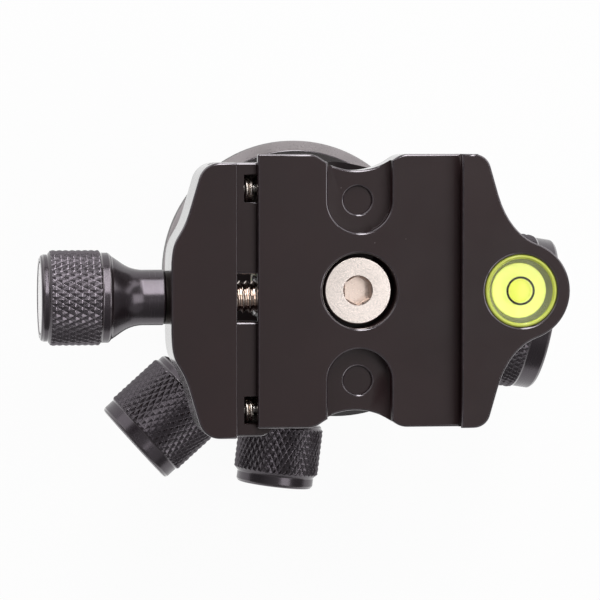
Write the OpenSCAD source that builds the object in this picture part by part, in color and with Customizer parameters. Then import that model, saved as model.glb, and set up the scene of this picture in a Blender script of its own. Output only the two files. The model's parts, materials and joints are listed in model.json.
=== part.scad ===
// Tripod ball head with a dovetail clamp, a main lock, a ball friction
// knob and a pan lock. Millimetres, +Z up. The origin is the centre of
// the base's underside, on the panning axis. The bubble level points
// along +X and the clamp's knob along -X.

/* [Base] */
// Height of the base disc at its top face
base_t = 6; // [5:0.5:8]
// How far the base disc stands out past the housing
base_lip = 4.1; // [3.4:0.1:6]
// Radius of the panning spindle on the base
spindle_r = 12; // [10:0.1:14.5]
// Height of the spindle above the base disc
spindle_h = 18; // [15:0.1:22]
// Outer radius of the threaded steel bush in the base
bush_r = 6.5; // [6:0.1:7.5]
// Length of the threaded bush
bush_len = 11; // [9:0.5:13]
// Wall radius of the tripod thread (3/8 inch)
thread_r = 4; // [3.9:0.05:4.1]

/* [Ball and housing] */
// Radius of the ball
ball_r = 18; // [15:0.1:22]
// Thickness of the upper liner ring round the ball
liner_t = 0.9; // [0.7:0.1:1.2]
// Wall of the housing round the ball
housing_wall = 5.4; // [4.5:0.1:7]
// Height of the housing's rim above the ball's centre
rim_rise = 7.5; // [6.5:0.1:8]
// How far the rim's collar stands out from the housing
collar_out = 2; // [1:0.1:2.4]
// Radius of the ball's neck
neck_r = 7; // [5.8:0.1:8.4]
// Room on each side of the neck in the drop notch
notch_gap = 1; // [0.8:0.1:2]
// Thickness of the seat below the ball
seat_under = 5; // [4:0.1:7]
// Height of the spring under the seat
spring_room = 6.5; // [6:0.1:9]

/* [Clamp] */
// Thickness of the clamp
clamp_t = 13; // [12.5:0.1:16]
// Length of the clamp along the dovetail
clamp_len = 52.3; // [43:0.1:64]
// Height of the jaws above the plate's seat
jaw_h = 4; // [3.6:0.1:5]
// From the panning axis to the fixed jaw's edge
fixed_edge = 19.1; // [17:0.1:23]
// From the panning axis to the seat's free edge
seat_edge = 19.7; // [18:0.1:21]
// From the panning axis to the moving jaw's edge, open
open_edge = 24.1; // [24:0.1:30]
// Closing travel of the moving jaw
jaw_travel = 8.4; // [6:0.1:8.4]
// How far the slack jaw hangs off the clamp's middle
jaw_sag = 1.6; // [0:0.1:1.8]
// How far the clamp screw sits off the clamp's middle
screw_sag = 1.2; // [0.9:0.1:1.6]
// Radius of the clamp screw (1/4 inch)
screw_r = 3.175; // [3:0.005:3.3]
// Radius of the centre bolt's head
bolt_head_r = 6.5; // [5.4:0.1:7.8]
// Radius of the bubble level
level_r = 7; // [5.8:0.1:8.4]

/* [Knobs] */
// Direction of the main knob, degrees from +X
main_az = -9.2; // [-20:0.1:10]
// Direction of the friction knob
friction_az = 222; // [212:0.5:225]
// Direction of the pan knob
pan_az = 263; // [258:0.5:280]
// Radius of the main knob
main_r = 16; // [13:0.1:19]
// Radius of the friction knob
friction_r = 9.95; // [8.5:0.05:12]
// Radius of the pan knob
pan_r = 9.05; // [7.5:0.05:10]
// Radius of the clamp knob
clamp_knob_r = 9.1; // [7.5:0.05:11]
// Inward travel of the main lock plunger
main_travel = 1.5; // [1:0.1:1.8]
// Inward travel of the friction plunger
friction_travel = 1.2; // [0.8:0.1:1.4]
// Inward travel of the pan shoe
pan_travel = 0.8; // [0.5:0.1:1]

/* [Hidden] */
$fn = 96;
eps = 0.01;
fit_gap = 0.05;     // a shaft in its hole
slide_gap = 0.3;    // faces that pass each other

// Heights, from the base up
washer_t = 0.4;
housing_z = base_t + washer_t + fit_gap;
spindle_top = base_t + spindle_h;
retainer_t = 2.5;
retainer_r = spindle_r + 3.5;
shoulder_z = spindle_top - washer_t - fit_gap;
chamber_z = spindle_top + retainer_t + 2.5;
floor_t = 3.5;
floor_top = chamber_z + floor_t;
seat_z = floor_top + spring_room;
ball_z = seat_z + seat_under + ball_r;
rim_z = ball_z + rim_rise;

// Radii round the ball
cup_r = ball_r + fit_gap;
liner_r = cup_r + liner_t;
chamber_r = liner_r + fit_gap;
housing_r = chamber_r + housing_wall;
base_r = housing_r + base_lip;
collar_r = housing_r + collar_out;
collar_z = rim_z - 11;
collar_open = neck_r + 5.5; // half of the collar's gap at the drop notch
seat_r = chamber_r - 0.4;
seat_hole_r = 7;
seat_rise = 8;      // height of the cup wall above the ball's lowest point
seat_cone = 7.2;    // 45 degree cone that the plungers push under
cone_k = seat_z + seat_cone - seat_r;

// Clamp heights and places
neck_len = housing_r + 4.6;
clamp_z = ball_z + neck_len;
top_z = clamp_z + clamp_t;
seat_face_z = top_z - jaw_h;
roof_t = 1.5;
cavity_z = seat_face_z - roof_t;
tongue_z = cavity_z - slide_gap;
screw_z = clamp_z + 4;
pin_z = screw_z - 0.6;
lip_t = 1.2;
half = clamp_len / 2;
undercut = jaw_h - lip_t;
bore_r = bolt_head_r + 0.75;
core_x = 0.25 - bore_r;
boss_w = 8;
boss_x = -seat_edge - 0.6;
pocket_w = 12.4;
pocket_d = 3;
pocket_y = half - 8.85;
spot_r = 2.7;
spot_d = 0.6;
scallop_x = -0.4;
scallop_r = 12.3;
scallop_y = half - 3.1 + scallop_r;
scallop_edge = 4;   // rounding where a scallop runs out
bolt_r = 4;
bolt_head_h = 4.5;
bolt_recess = 2.7;
bolt_top = seat_face_z - bolt_recess;
bolt_seat_z = bolt_top - bolt_head_h;
bolt_end = ball_z + 12;
level_x = fixed_edge + level_r + 4.5;
level_wall = 1.4;
level_h = 6.7;
level_top = top_z - 0.1;
level_plug = 1.2;
lobe_r = level_r + 2.5;
lobe_flank = 7.6;   // end of the lobe's straight flank, from the clamp's end
relief_d = 0.5;

// Moving jaw
jaw_x = -open_edge;
jaw_back = jaw_x - 12.5;
jaw_face = jaw_x - 4.8;
jaw_flank = 9.6;    // end of the jaw's straight flank, from its end
jaw_flat = 5.9;     // half of its flat back
tongue_end = core_x - 1.5 - jaw_travel;
slot_x = jaw_face - 0.6;
spring_slot_x = jaw_x + 2;
spring_slot_w = 5.3;
spring_y = half - 4.95;
spring_r = 2.05;
spring_wire = 0.4;
spring_turns = 7.5;
pin_r = 1.4;
pin_start = jaw_face - 1;
pin_end = core_x - slide_gap - jaw_travel;
screw_end = core_x - 1.2 - jaw_travel;
collar_t = 0.5;

// Studs, bushes and plungers, each as [radius, ...] along its own axis
main_z = seat_z + 2;
friction_z = seat_z - 1.5;
pan_z = base_t + 7;
main_plunger_r = 5;
friction_plunger_r = 4.5;
tip_r = 1;
main_stud_r = 4;
friction_stud_r = 3;
pan_stud_r = 2.5;
boss_out = 2.6;
bush_flange = 1.5;
bush_out = housing_r + boss_out + bush_flange;
plunger_end = housing_r - 0.9;
shoe_r = 2.8;
shoe_end = housing_r - 1.9;
groove_r = spindle_r - 2;
main_cone_x = main_z + main_plunger_r - cone_k + 0.4 + main_travel;
friction_cone_x = friction_z + friction_plunger_r - cone_k + 0.4 + friction_travel;
shoe_tip_x = groove_r + slide_gap + pan_travel;
main_x = bush_out + slide_gap + main_travel;
friction_x = bush_out + slide_gap + friction_travel;
pan_x = bush_out + slide_gap + pan_travel;
clamp_knob_x = jaw_back - collar_t - fit_gap;

// ---- helpers ----

function arc(c, r, a0, a1, n = 12) =
    [for (i = [0:n]) c + r * [cos(a0 + (a1 - a0) * i / n), sin(a0 + (a1 - a0) * i / n)]];

function bezier(p, n = 12) = [for (i = [0:n]) let (t = i / n, s = 1 - t)
    s * s * s * p[0] + 3 * s * s * t * p[1] + 3 * s * t * t * p[2] + t * t * t * p[3]];

function mirrored(points) =
    [for (i = [len(points) - 1:-1:0]) [points[i][0], -points[i][1]]];

function ring_point(r, wire, pitch, angle, k, sides) =
    let (q = 360 * k / sides)
    [(r + wire * cos(q)) * cos(angle), (r + wire * cos(q)) * sin(angle),
     pitch * angle / 360 + wire * sin(q)];

// A solid turned about Z from points given as [radius, height]
module turned(points) {
    rotate_extrude() polygon(points);
}

// A closed coil of round wire that rises along +Z from its own centre line's start
module coil(r, wire, height, turns, steps = 12, sides = 6) {
    rings = round(turns * steps);
    pitch = (height - 2 * wire) / turns;
    points = [for (i = [0:rings]) for (k = [0:sides - 1])
        ring_point(r, wire, pitch, 360 * i / steps, k, sides) + [0, 0, wire]];
    sides_faces = [for (i = [0:rings - 1]) for (k = [0:sides - 1]) let (n = (k + 1) % sides)
        [i * sides + k, (i + 1) * sides + k, (i + 1) * sides + n, i * sides + n]];
    polyhedron(points, concat(sides_faces,
        [[for (k = [0:sides - 1]) k]],
        [[for (k = [sides - 1:-1:0]) rings * sides + k]]));
}

// Puts a piece turned about Z on a knob's axis, pointing away from the housing
module radial(azimuth, height) {
    rotate([0, 0, azimuth]) translate([0, 0, height]) rotate([0, 90, 0]) children();
}

// Puts a piece turned about Z on the clamp screw's axis, pointing along -X
module along_screw() {
    translate([0, -screw_sag, screw_z]) rotate([0, -90, 0]) children();
}

module tube(r_out, r_in, z0, z1) {
    turned([[r_in, z0], [r_out, z0], [r_out, z1], [r_in, z1]]);
}

module rod(r, z0, z1) {
    translate([0, 0, z0]) cylinder(r = r, h = z1 - z0);
}

// The vertical slot that lets the neck drop level, open upwards along +Y
module notch(half_w) {
    translate([0, 0, ball_z]) rotate([-90, 0, 0]) cylinder(r = half_w, h = base_r);
    translate([-half_w, 0, ball_z]) cube([2 * half_w, base_r, rim_rise + 5]);
}

// A knob's body: neck, cone, plain ring, grip with chamfers, step and end ring.
// x holds the stations along the axis, r the radii; the end is hollowed for a cap.
module knob(x, neck, ring_in, grip, ring_out, bore, cap_r, cap_d, head_r = 0, head_d = 0) {
    c = 0.5;
    difference() {
        turned([[bore, x[0]], [neck - c, x[0]], [neck, x[0] + c], [neck, x[1]],
            [ring_in - c, x[2]], [ring_in, x[2] + c], [ring_in, x[3]],
            [grip, x[3] + (grip - ring_in)], [grip, x[4] - (grip - ring_out)],
            [ring_out, x[4]], [ring_out, x[5] - c], [ring_out - c, x[5]], [bore, x[5]]]);
        rod(cap_r, x[5] - cap_d, x[5] + 1);
        if (head_r > 0) rod(head_r, x[5] - cap_d - head_d, x[5]);
    }
}

module knob_cap(x_end, cap_r, cap_d) {
    turned([[0, x_end - cap_d], [cap_r, x_end - cap_d], [cap_r, x_end - 0.4],
        [cap_r - 0.4, x_end - 0.1], [0, x_end - 0.1]]);
}

// A flanged bush screwed into a boss of the housing, x0 to the flange's outer face
module knob_bush(r, flange_r, bore, x0) {
    turned([[bore, x0], [r, x0], [r, bush_out - bush_flange],
        [flange_r, bush_out - bush_flange], [flange_r, bush_out - 0.3],
        [flange_r - 0.3, bush_out], [bore, bush_out]]);
}

// A plunger with a 45 degree cone tip whose base is at cone_x
module plunger(r, cone_x, x_end) {
    turned([[0, cone_x - (r - tip_r)], [tip_r, cone_x - (r - tip_r)], [r, cone_x],
        [r, x_end - 0.3], [r - 0.3, x_end], [0, x_end]]);
}

// ---- base ----

module base_plate() color("#2b2526") difference() {
    // disc with a turned rim, and the spindle with the pan lock's groove
    turned([[0, 0], [base_r - 0.5, 0], [base_r, 0.5], [base_r, base_t - 2.6],
        [base_r - 0.3, base_t - 2], [base_r - 2.1, base_t], [spindle_r, base_t], [spindle_r, pan_z - 3],
        [groove_r, pan_z - 1], [groove_r, pan_z + 1], [spindle_r, pan_z + 3],
        [spindle_r, spindle_top], [0, spindle_top]]);
    rod(bush_r, -1, bush_len);
    tube(housing_r - 4, bush_r + 3, -1, relief_d);
    for (a = [30:120:270]) rotate([0, 0, a]) translate([spindle_r - 4, 0, 0])
        rod(1.5, spindle_top - 6.5, spindle_top + 1);
}

module base_bush() color("silver") tube(bush_r, thread_r, 0, bush_len);

module pan_washer() color("ivory") tube(housing_r - 1, spindle_r + 0.6, base_t, base_t + washer_t);

module thrust_washer() color("ivory")
    tube(retainer_r, spindle_r + 0.3, spindle_top - washer_t, spindle_top);

module pan_retainer() color("silver") difference() {
    rod(retainer_r, spindle_top, spindle_top + retainer_t);
    for (a = [30:120:270]) rotate([0, 0, a]) translate([spindle_r - 4, 0, spindle_top]) {
        rod(1.6, -1, retainer_t + 1);
        translate([0, 0, retainer_t - 1.5]) cylinder(r1 = 1.6, r2 = 3.11, h = 1.51);
    }
}

module retainer_screws() color("dimgray")
    for (a = [30:120:270]) rotate([0, 0, a]) translate([spindle_r - 4, 0, spindle_top])
        difference() {
            turned([[0, -6], [1.5, -6], [1.5, retainer_t - 1.4], [2.9, retainer_t],
                [0, retainer_t]]);
            translate([0, 0, retainer_t - 1]) cylinder(r = 1.15, h = 2, $fn = 6);
        }

// ---- housing ----

module boss(azimuth, height, r) {
    radial(azimuth, height) rod(r, chamber_r + 1, housing_r + boss_out);
}

module housing() color("#2b2526") difference() {
    union() {
        turned([[0, housing_z], [housing_r - 0.4, housing_z], [housing_r, housing_z + 0.4],
            [housing_r, collar_z], [collar_r, collar_z + collar_out], [collar_r, rim_z - 1.4],
            [collar_r - 1.4, rim_z], [0, rim_z]]);
        boss(main_az, main_z, 9);
        boss(friction_az, friction_z, 7.5);
        boss(pan_az, pan_z, 6.2);
    }
    // bore for the spindle, retainer space, chamber and the cup over the ball
    rod(spindle_r + fit_gap, 0, shoulder_z + 1);
    rod(retainer_r + 0.6, shoulder_z, chamber_z + 1);
    rod(chamber_r, chamber_z, ball_z);
    translate([0, 0, ball_z]) sphere(r = chamber_r);
    notch(neck_r + notch_gap);
    // the collar stops beside the notch
    difference() {
        translate([-collar_open, 0, collar_z]) cube([2 * collar_open, base_r, rim_z]);
        rod(housing_r, 0, rim_z + 1);
    }
    radial(main_az, main_z) {
        rod(main_plunger_r + fit_gap, 0, housing_r);
        rod(6.5, housing_r - 0.6, bush_out);
    }
    radial(friction_az, friction_z) {
        rod(friction_plunger_r + fit_gap, 0, housing_r);
        rod(5.2, housing_r - 0.6, bush_out);
    }
    radial(pan_az, pan_z) {
        rod(shoe_r + fit_gap, 0, housing_r);
        rod(4.2, housing_r - 1.6, bush_out);
    }
}

module floor_disc() color("silver") tube(chamber_r - fit_gap, 4, chamber_z, floor_top);

module seat_spring() color("lightsteelblue") translate([0, 0, floor_top])
    coil(8.2, 0.6, spring_room - 0.1, 3);

module upper_liner() color("ivory") {
    low = -5;
    high = asin((rim_rise - 0.1) / liner_r);
    difference() {
        translate([0, 0, ball_z]) rotate_extrude() polygon(concat(
            arc([0, 0], liner_r, low, high, 16), arc([0, 0], cup_r, high, low, 16)));
        notch(neck_r + notch_gap + 0.3);
    }
}

module main_bush() color("#2b2526") radial(main_az, main_z)
    knob_bush(6.5, 8.2, main_stud_r + fit_gap, housing_r - 0.6);

module friction_bush() color("#2b2526") radial(friction_az, friction_z)
    knob_bush(5.2, 6.8, friction_stud_r + fit_gap, housing_r - 0.6);

module pan_bush() color("#2b2526") radial(pan_az, pan_z)
    knob_bush(4.2, 5.6, pan_stud_r + fit_gap, housing_r - 1.6);

// ---- ball ----

module ball_seat() color("ivory") difference() {
    turned([[seat_hole_r, seat_z], [seat_r - seat_cone, seat_z], [seat_r, seat_z + seat_cone],
        [seat_r, seat_z + seat_under + seat_rise], [seat_hole_r, seat_z + seat_under + seat_rise]]);
    translate([0, 0, ball_z]) sphere(r = cup_r);
}

module ball() color("#3a3436") difference() {
    union() {
        translate([0, 0, ball_z]) sphere(r = ball_r);
        translate([0, 0, ball_z]) turned(concat([[0, ball_r / 2], [neck_r, ball_r / 2]],
            arc([neck_r + 4, housing_r + 0.5], 4, 180, 90, 8),
            [[neck_r + 4, neck_len - fit_gap], [0, neck_len - fit_gap]]));
    }
    rod(bolt_r + fit_gap, bolt_end - 1.5, clamp_z + 1);
}

// ---- clamp ----

lobe_half = concat(
    [[fixed_edge, half]],
    arc([fixed_edge + 2.4, half - 3.2], 3.2, 90, 16, 8),
    bezier([[fixed_edge + 7, half - lobe_flank], [fixed_edge + 9.4, lobe_r * 1.08],
        [level_x + lobe_r * 0.32, lobe_r * 0.95],
        [level_x + lobe_r * cos(67), lobe_r * sin(67)]]),
    arc([level_x, 0], lobe_r, 65, 0, 12));

jaw_half = concat(
    [[jaw_x, half]],
    arc([jaw_x - 3.3, half - 4.1], 4.1, 90, 163, 8),
    bezier([[jaw_x - 9.2, half - jaw_flank], [jaw_x - 10.9, half - jaw_flank - 5.3],
        [jaw_back, jaw_flat + 6.8], [jaw_back, jaw_flat]]));

// A scallop that runs out of the clamp's end in two rounded edges
scallop_lead = asin((scallop_y - half + scallop_edge) / (scallop_r + scallop_edge));
scallop_half = (scallop_r + scallop_edge) * cos(scallop_lead);
scallop = concat(
    arc([-scallop_half, half - scallop_edge], scallop_edge, 90, scallop_lead, 6),
    arc([0, scallop_y], scallop_r, 180 + scallop_lead, 360 - scallop_lead, 24),
    arc([scallop_half, half - scallop_edge], scallop_edge, 180 - scallop_lead, 90, 6),
    [[scallop_half, half + 1], [-scallop_half, half + 1]]);

module outline(points, z0, z1) {
    translate([0, 0, z0]) linear_extrude(z1 - z0) polygon(concat(points, mirrored(points)));
}

// The 45 degree undercut below a lip whose edge is at x; side is +1 or -1 along X
module undercut_at(x, side) {
    rotate([90, 0, 0]) linear_extrude(2 * clamp_len, center = true)
        polygon([[x - side, seat_face_z], [x + side * undercut, seat_face_z],
            [x, seat_face_z + undercut], [x - side, seat_face_z + undercut]]);
}

module each_end() {
    children();
    mirror([0, 1, 0]) children();
}

module clamp_body() color("#332c2e") difference() {
    union() {
        outline(lobe_half, clamp_z, top_z);
        translate([-seat_edge, -half, clamp_z])
            cube([seat_edge + fixed_edge + undercut + 1, clamp_len, clamp_t - jaw_h]);
    }
    undercut_at(fixed_edge, 1);
    // scallops, lightening pockets and blind spots on both sides
    each_end() {
        translate([scallop_x, 0, clamp_z - 1]) linear_extrude(clamp_t + 2) polygon(scallop);
        translate([0, pocket_y, 0]) rod(pocket_w / 2, seat_face_z - pocket_d, top_z);
        translate([-pocket_w / 2, pocket_y, seat_face_z - pocket_d])
            cube([pocket_w, half, jaw_h]);
        translate([0, pocket_y, 0]) rod(spot_r, seat_face_z - pocket_d - spot_d, top_z);
    }
    // cavity that the jaw's tongue slides in, round the screw's boss
    difference() {
        translate([-seat_edge - 1, -clamp_len, clamp_z - 1])
            cube([seat_edge + 1 + core_x, 2 * clamp_len, cavity_z - clamp_z + 1]);
        translate([boss_x, -screw_sag - boss_w / 2, clamp_z])
            cube([core_x - boss_x + 1, boss_w, clamp_t]);
    }
    along_screw() rod(screw_r + fit_gap, -core_x + 0.9, seat_edge + 5);
    // centre bolt and bubble level
    rod(bolt_r + 0.2, clamp_z - 1, top_z);
    rod(bore_r, bolt_seat_z, top_z);
    translate([level_x, 0, 0]) rod(level_r, level_top - level_h, top_z + 1);
}

module clamp_bolt() color("gainsboro") difference() {
    turned([[0, bolt_end], [bolt_r, bolt_end], [bolt_r, bolt_seat_z],
        [bolt_head_r, bolt_seat_z], [bolt_head_r, bolt_top - 0.15],
        [bolt_head_r - 0.15, bolt_top], [0, bolt_top]]);
    translate([0, 0, bolt_top - 3]) rotate([0, 0, 30]) cylinder(r = 2.5 / cos(30), h = 4, $fn = 6);
    translate([0, 0, bolt_top - 0.4]) cylinder(r1 = 2.5, r2 = 2.91, h = 0.41);
}

module level_vial() color([0.8, 0.95, 0.3, 0.5]) translate([level_x, 0, 0]) difference() {
    rod(level_r - fit_gap, level_top - level_h + level_plug, level_top);
    rod(level_r - level_wall, level_top - level_h, level_top - 1.3);
}

module level_fluid() color([0.9, 1, 0.4, 0.6]) translate([level_x, 0, 0])
    rod(level_r - level_wall - eps, level_top - level_h + level_plug, level_top - 1.3 - eps);

module level_plug() color("greenyellow") translate([level_x, 0, 0])
    rod(level_r - fit_gap, level_top - level_h, level_top - level_h + level_plug);

// ---- moving jaw ----

module clamp_jaw() color("#332c2e") translate([0, -jaw_sag, 0]) difference() {
    union() {
        difference() {
            outline(jaw_half, clamp_z + 0.2, top_z);
            // space under the lip, above the tongue
            translate([jaw_face, -clamp_len, tongue_z])
                cube([20, 2 * clamp_len, seat_face_z + slide_gap - tongue_z]);
            undercut_at(jaw_x, -1);
        }
        // the tongue that slides under the plate's seat
        translate([0, 0, clamp_z + 0.2]) linear_extrude(tongue_z - clamp_z - 0.2)
            polygon(concat([[jaw_x - 1, half]], arc([tongue_end - 2, half - 2], 2, 90, 0, 6),
                arc([tongue_end - 2, 2 - half], 2, 0, -90, 6), [[jaw_x - 1, -half]]));
    }
    translate([slot_x, jaw_sag - screw_sag - boss_w / 2 - 0.7, clamp_z - 1])
        cube([30, boss_w + 1.2, tongue_z - clamp_z + 2 - fit_gap]);
    for (y = [-spring_y, spring_y]) translate([0, y, 0]) {
        translate([spring_slot_x, -spring_slot_w / 2, clamp_z + 1])
            cube([20, spring_slot_w, clamp_t - jaw_h - 1.2]);
        translate([pin_start, 0, pin_z]) rotate([0, 90, 0]) cylinder(r = pin_r, h = 20);
    }
    translate([0, jaw_sag, 0]) along_screw() rod(screw_r + fit_gap, 20, -jaw_back + 1);
}

module guide_pins() color("silver")
    for (y = [-spring_y, spring_y]) translate([pin_start, y - jaw_sag, pin_z])
        rotate([0, 90, 0]) cylinder(r = pin_r, h = pin_end - pin_start);

module jaw_springs() color("gainsboro")
    for (y = [-spring_y, spring_y]) translate([spring_slot_x, y - jaw_sag, pin_z])
        rotate([0, 90, 0]) coil(spring_r, spring_wire, core_x - spring_slot_x - fit_gap,
            spring_turns);

module jaw_collar() color("silver") along_screw()
    tube(5.1, screw_r + fit_gap, -jaw_back, -jaw_back + collar_t);

module clamp_screw() color("gainsboro") along_screw() rod(screw_r, -screw_end, -clamp_knob_x + 19);

clamp_stations = [0, 4.2, 10.2, 12.3, 22.3, 23.8];

module clamp_knob() color("#2b2526") along_screw() {
    x = [for (s = clamp_stations) s - clamp_knob_x];
    difference() {
        turned(concat([[screw_r, x[0]], [5, x[0]], [5.3, x[0] + 0.3], [5.3, x[1]]],
            bezier([[5.3, x[1] + 0.1], [5.5, x[1] + 3], [clamp_knob_r - 2.5, x[2] - 2.2],
                [clamp_knob_r - 1.1, x[2]]], 8),
            [[clamp_knob_r - 0.5, x[2] + 0.5], [clamp_knob_r - 0.5, x[3] - 0.1],
            [clamp_knob_r, x[3] + 0.3], [clamp_knob_r, x[4] - 0.6],
            [clamp_knob_r - 0.8, x[4]], [clamp_knob_r - 0.8, x[5] - 0.5],
            [clamp_knob_r - 1.3, x[5]], [screw_r, x[5]]]));
        rod(clamp_knob_r - 2, x[5] - 1.2, x[5] + 1);
    }
}

module clamp_knob_cap() color("gainsboro") along_screw()
    knob_cap(clamp_stations[5] - clamp_knob_x, clamp_knob_r - 2, 1.2);

// ---- main lock ----

main_stations = [for (s = [0, 1, 3.2, 4, 13.2, 17.2]) main_x + s];

module main_plunger() color("silver") radial(main_az, main_z)
    plunger(main_plunger_r, main_cone_x, plunger_end);

module main_stud() color("silver") radial(main_az, main_z) difference() {
    rod(main_stud_r, plunger_end, main_stations[5] - 5.5);
    rod(1.6, main_stations[5] - 13, main_stations[5]);
}

module main_knob() color("#2b2526") radial(main_az, main_z)
    knob(main_stations, 8.5, main_r - 0.6, main_r, main_r - 0.4, main_stud_r,
        main_r - 4.5, 1.5, 5.5, 4);

module main_knob_screw() color("dimgray") radial(main_az, main_z) difference() {
    turned([[0, main_stations[5] - 12.5], [1.6, main_stations[5] - 12.5],
        [1.6, main_stations[5] - 5.5], [4.6, main_stations[5] - 5.5],
        [4.6, main_stations[5] - 2.5], [0, main_stations[5] - 2.5]]);
    rod(1.5 / cos(30), main_stations[5] - 4.5, main_stations[5], $fn = 6);
}

module main_knob_cap() color("#2b2526") radial(main_az, main_z)
    knob_cap(main_stations[5], main_r - 4.5, 1.5);

// ---- ball friction ----

friction_stations = [for (s = [0, 2.4, 3.8, 5.6, 18, 21]) friction_x + s];

module friction_plunger() color("silver") radial(friction_az, friction_z)
    plunger(friction_plunger_r, friction_cone_x, plunger_end);

module friction_stud() color("silver") radial(friction_az, friction_z)
    rod(friction_stud_r, plunger_end, friction_stations[5] - 1.5);

module friction_knob() color("#2b2526") radial(friction_az, friction_z)
    knob(friction_stations, 6, friction_r - 0.5, friction_r, friction_r - 0.35,
        friction_stud_r, friction_r - 2.2, 1.5);

module friction_knob_cap() color("#2b2526") radial(friction_az, friction_z)
    knob_cap(friction_stations[5], friction_r - 2.2, 1.5);

// ---- pan lock ----

pan_stations = [for (s = [0, 1.6, 2.2, 3, 13.6, 16]) pan_x + s];

module pan_shoe() color("goldenrod") radial(pan_az, pan_z)
    turned([[0, shoe_tip_x], [0.9, shoe_tip_x], [shoe_r, shoe_tip_x + shoe_r - 0.9],
        [shoe_r, shoe_end], [0, shoe_end]]);

module pan_stud() color("silver") radial(pan_az, pan_z)
    rod(pan_stud_r, shoe_end, pan_stations[5] - 1.5);

module pan_knob() color("#2b2526") radial(pan_az, pan_z)
    knob(pan_stations, 5.2, pan_r - 0.4, pan_r, pan_r - 0.85, pan_stud_r, pan_r - 2.6, 1.5);

module pan_knob_cap() color("#2b2526") radial(pan_az, pan_z)
    knob_cap(pan_stations[5], pan_r - 2.6, 1.5);

base_plate();
base_bush();
pan_washer();
thrust_washer();
pan_retainer();
retainer_screws();
housing();
floor_disc();
seat_spring();
upper_liner();
main_bush();
friction_bush();
pan_bush();
ball_seat();
ball();
clamp_body();
clamp_bolt();
level_vial();
level_fluid();
level_plug();
clamp_jaw();
guide_pins();
jaw_springs();
jaw_collar();
clamp_screw();
clamp_knob();
clamp_knob_cap();
main_plunger();
main_stud();
main_knob();
main_knob_screw();
main_knob_cap();
friction_plunger();
friction_stud();
friction_knob();
friction_knob_cap();
pan_shoe();
pan_stud();
pan_knob();
pan_knob_cap();
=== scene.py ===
import json
import math

import bmesh
import bpy
import numpy as np
from bpy.props import FloatProperty, IntProperty, PointerProperty, StringProperty
from mathutils import Matrix, Vector


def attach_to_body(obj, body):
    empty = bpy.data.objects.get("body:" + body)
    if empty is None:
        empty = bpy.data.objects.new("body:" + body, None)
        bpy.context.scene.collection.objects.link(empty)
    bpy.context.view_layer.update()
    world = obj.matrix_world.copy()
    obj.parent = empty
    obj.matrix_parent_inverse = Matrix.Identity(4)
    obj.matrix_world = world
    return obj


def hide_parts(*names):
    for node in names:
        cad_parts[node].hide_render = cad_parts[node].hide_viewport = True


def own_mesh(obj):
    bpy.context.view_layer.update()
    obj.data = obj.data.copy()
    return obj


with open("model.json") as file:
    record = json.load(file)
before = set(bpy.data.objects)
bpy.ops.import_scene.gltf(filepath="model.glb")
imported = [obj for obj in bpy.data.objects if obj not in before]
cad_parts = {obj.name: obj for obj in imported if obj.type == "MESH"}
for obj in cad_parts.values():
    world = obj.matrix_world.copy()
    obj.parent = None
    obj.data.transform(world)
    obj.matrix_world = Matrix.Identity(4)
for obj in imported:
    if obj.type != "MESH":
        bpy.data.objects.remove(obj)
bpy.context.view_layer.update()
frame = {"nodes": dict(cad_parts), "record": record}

bl_info = {
    "name": "Tripod Ball Head",
    "version": (1, 0, 0),
    "blender": (4, 5, 0),
    "location": "View3D > Sidebar > Ball Head",
    "description": "Finishes the machined, turned and knurled pieces of a tripod ball head",
    "category": "Mesh",
}

MM = 0.001
NODES = frame["nodes"]
BODY_OF = {node: body for body, nodes in frame["record"]["behaviour"]["bodies"].items()
           for node in nodes}
SLOT_OF = {part["node"]: part["material_slot"] for part in frame["record"]["subparts"]}


def length(name, description, mm):
    """A size in metres, given in millimetres."""
    return FloatProperty(name=name, description=description, default=mm * MM, unit="LENGTH",
                         precision=5)


def paint(name, description, value):
    """A colour as an sRGB hex value."""
    return StringProperty(name=name, description=description, default=value)


# ---- sizes and colours that a user would change ----


class EdgeSettings(bpy.types.PropertyGroup):
    clamp_edge: length("Clamp edge", "Rounded edge of the clamp", 0.36)
    small_edge: length("Small edge", "Chamfer on screws, pins and plates", 0.12)
    turned_edge: length("Turned edge", "Broken corner on turned pieces", 0.18)


class KnurlSettings(bpy.types.PropertyGroup):
    pitch: length("Pitch", "Distance between diamonds round the knob", 1.3)
    period: length("Period", "Distance between diamonds along the knob", 2.43)
    depth: length("Depth", "Depth of the grooves between the diamonds", 0.3)
    samples: IntProperty(name="Samples", description="Grid steps across one diamond",
                         default=8, min=4, max=12)


class ThreadSettings(bpy.types.PropertyGroup):
    clamp_pitch: length("Clamp screw pitch", "Pitch of the clamp's screw", 1.27)
    base_pitch: length("Base thread pitch", "Pitch of the thread for the tripod", 1.5875)
    base_depth: length("Base thread depth", "Depth of the thread for the tripod", 0.7)
    spring_wire: length("Spring wire", "Radius of the wire in the jaw's springs", 0.38)
    spring_turns: FloatProperty(name="Spring turns", description="Turns in a jaw spring",
                                default=9.25, min=4, max=16)
    closed_turns: FloatProperty(name="Closed turns", default=1.75, min=0.5, max=3,
                                description="Turns that touch at each end of a jaw spring")


class ScaleSettings(bpy.types.PropertyGroup):
    step: IntProperty(name="Step", description="Degrees between two lines", default=5)
    label_step: IntProperty(name="Label step", description="Degrees between two numbers",
                            default=30)
    label_size: length("Label size", "Height of the numbers", 1.9)


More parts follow.
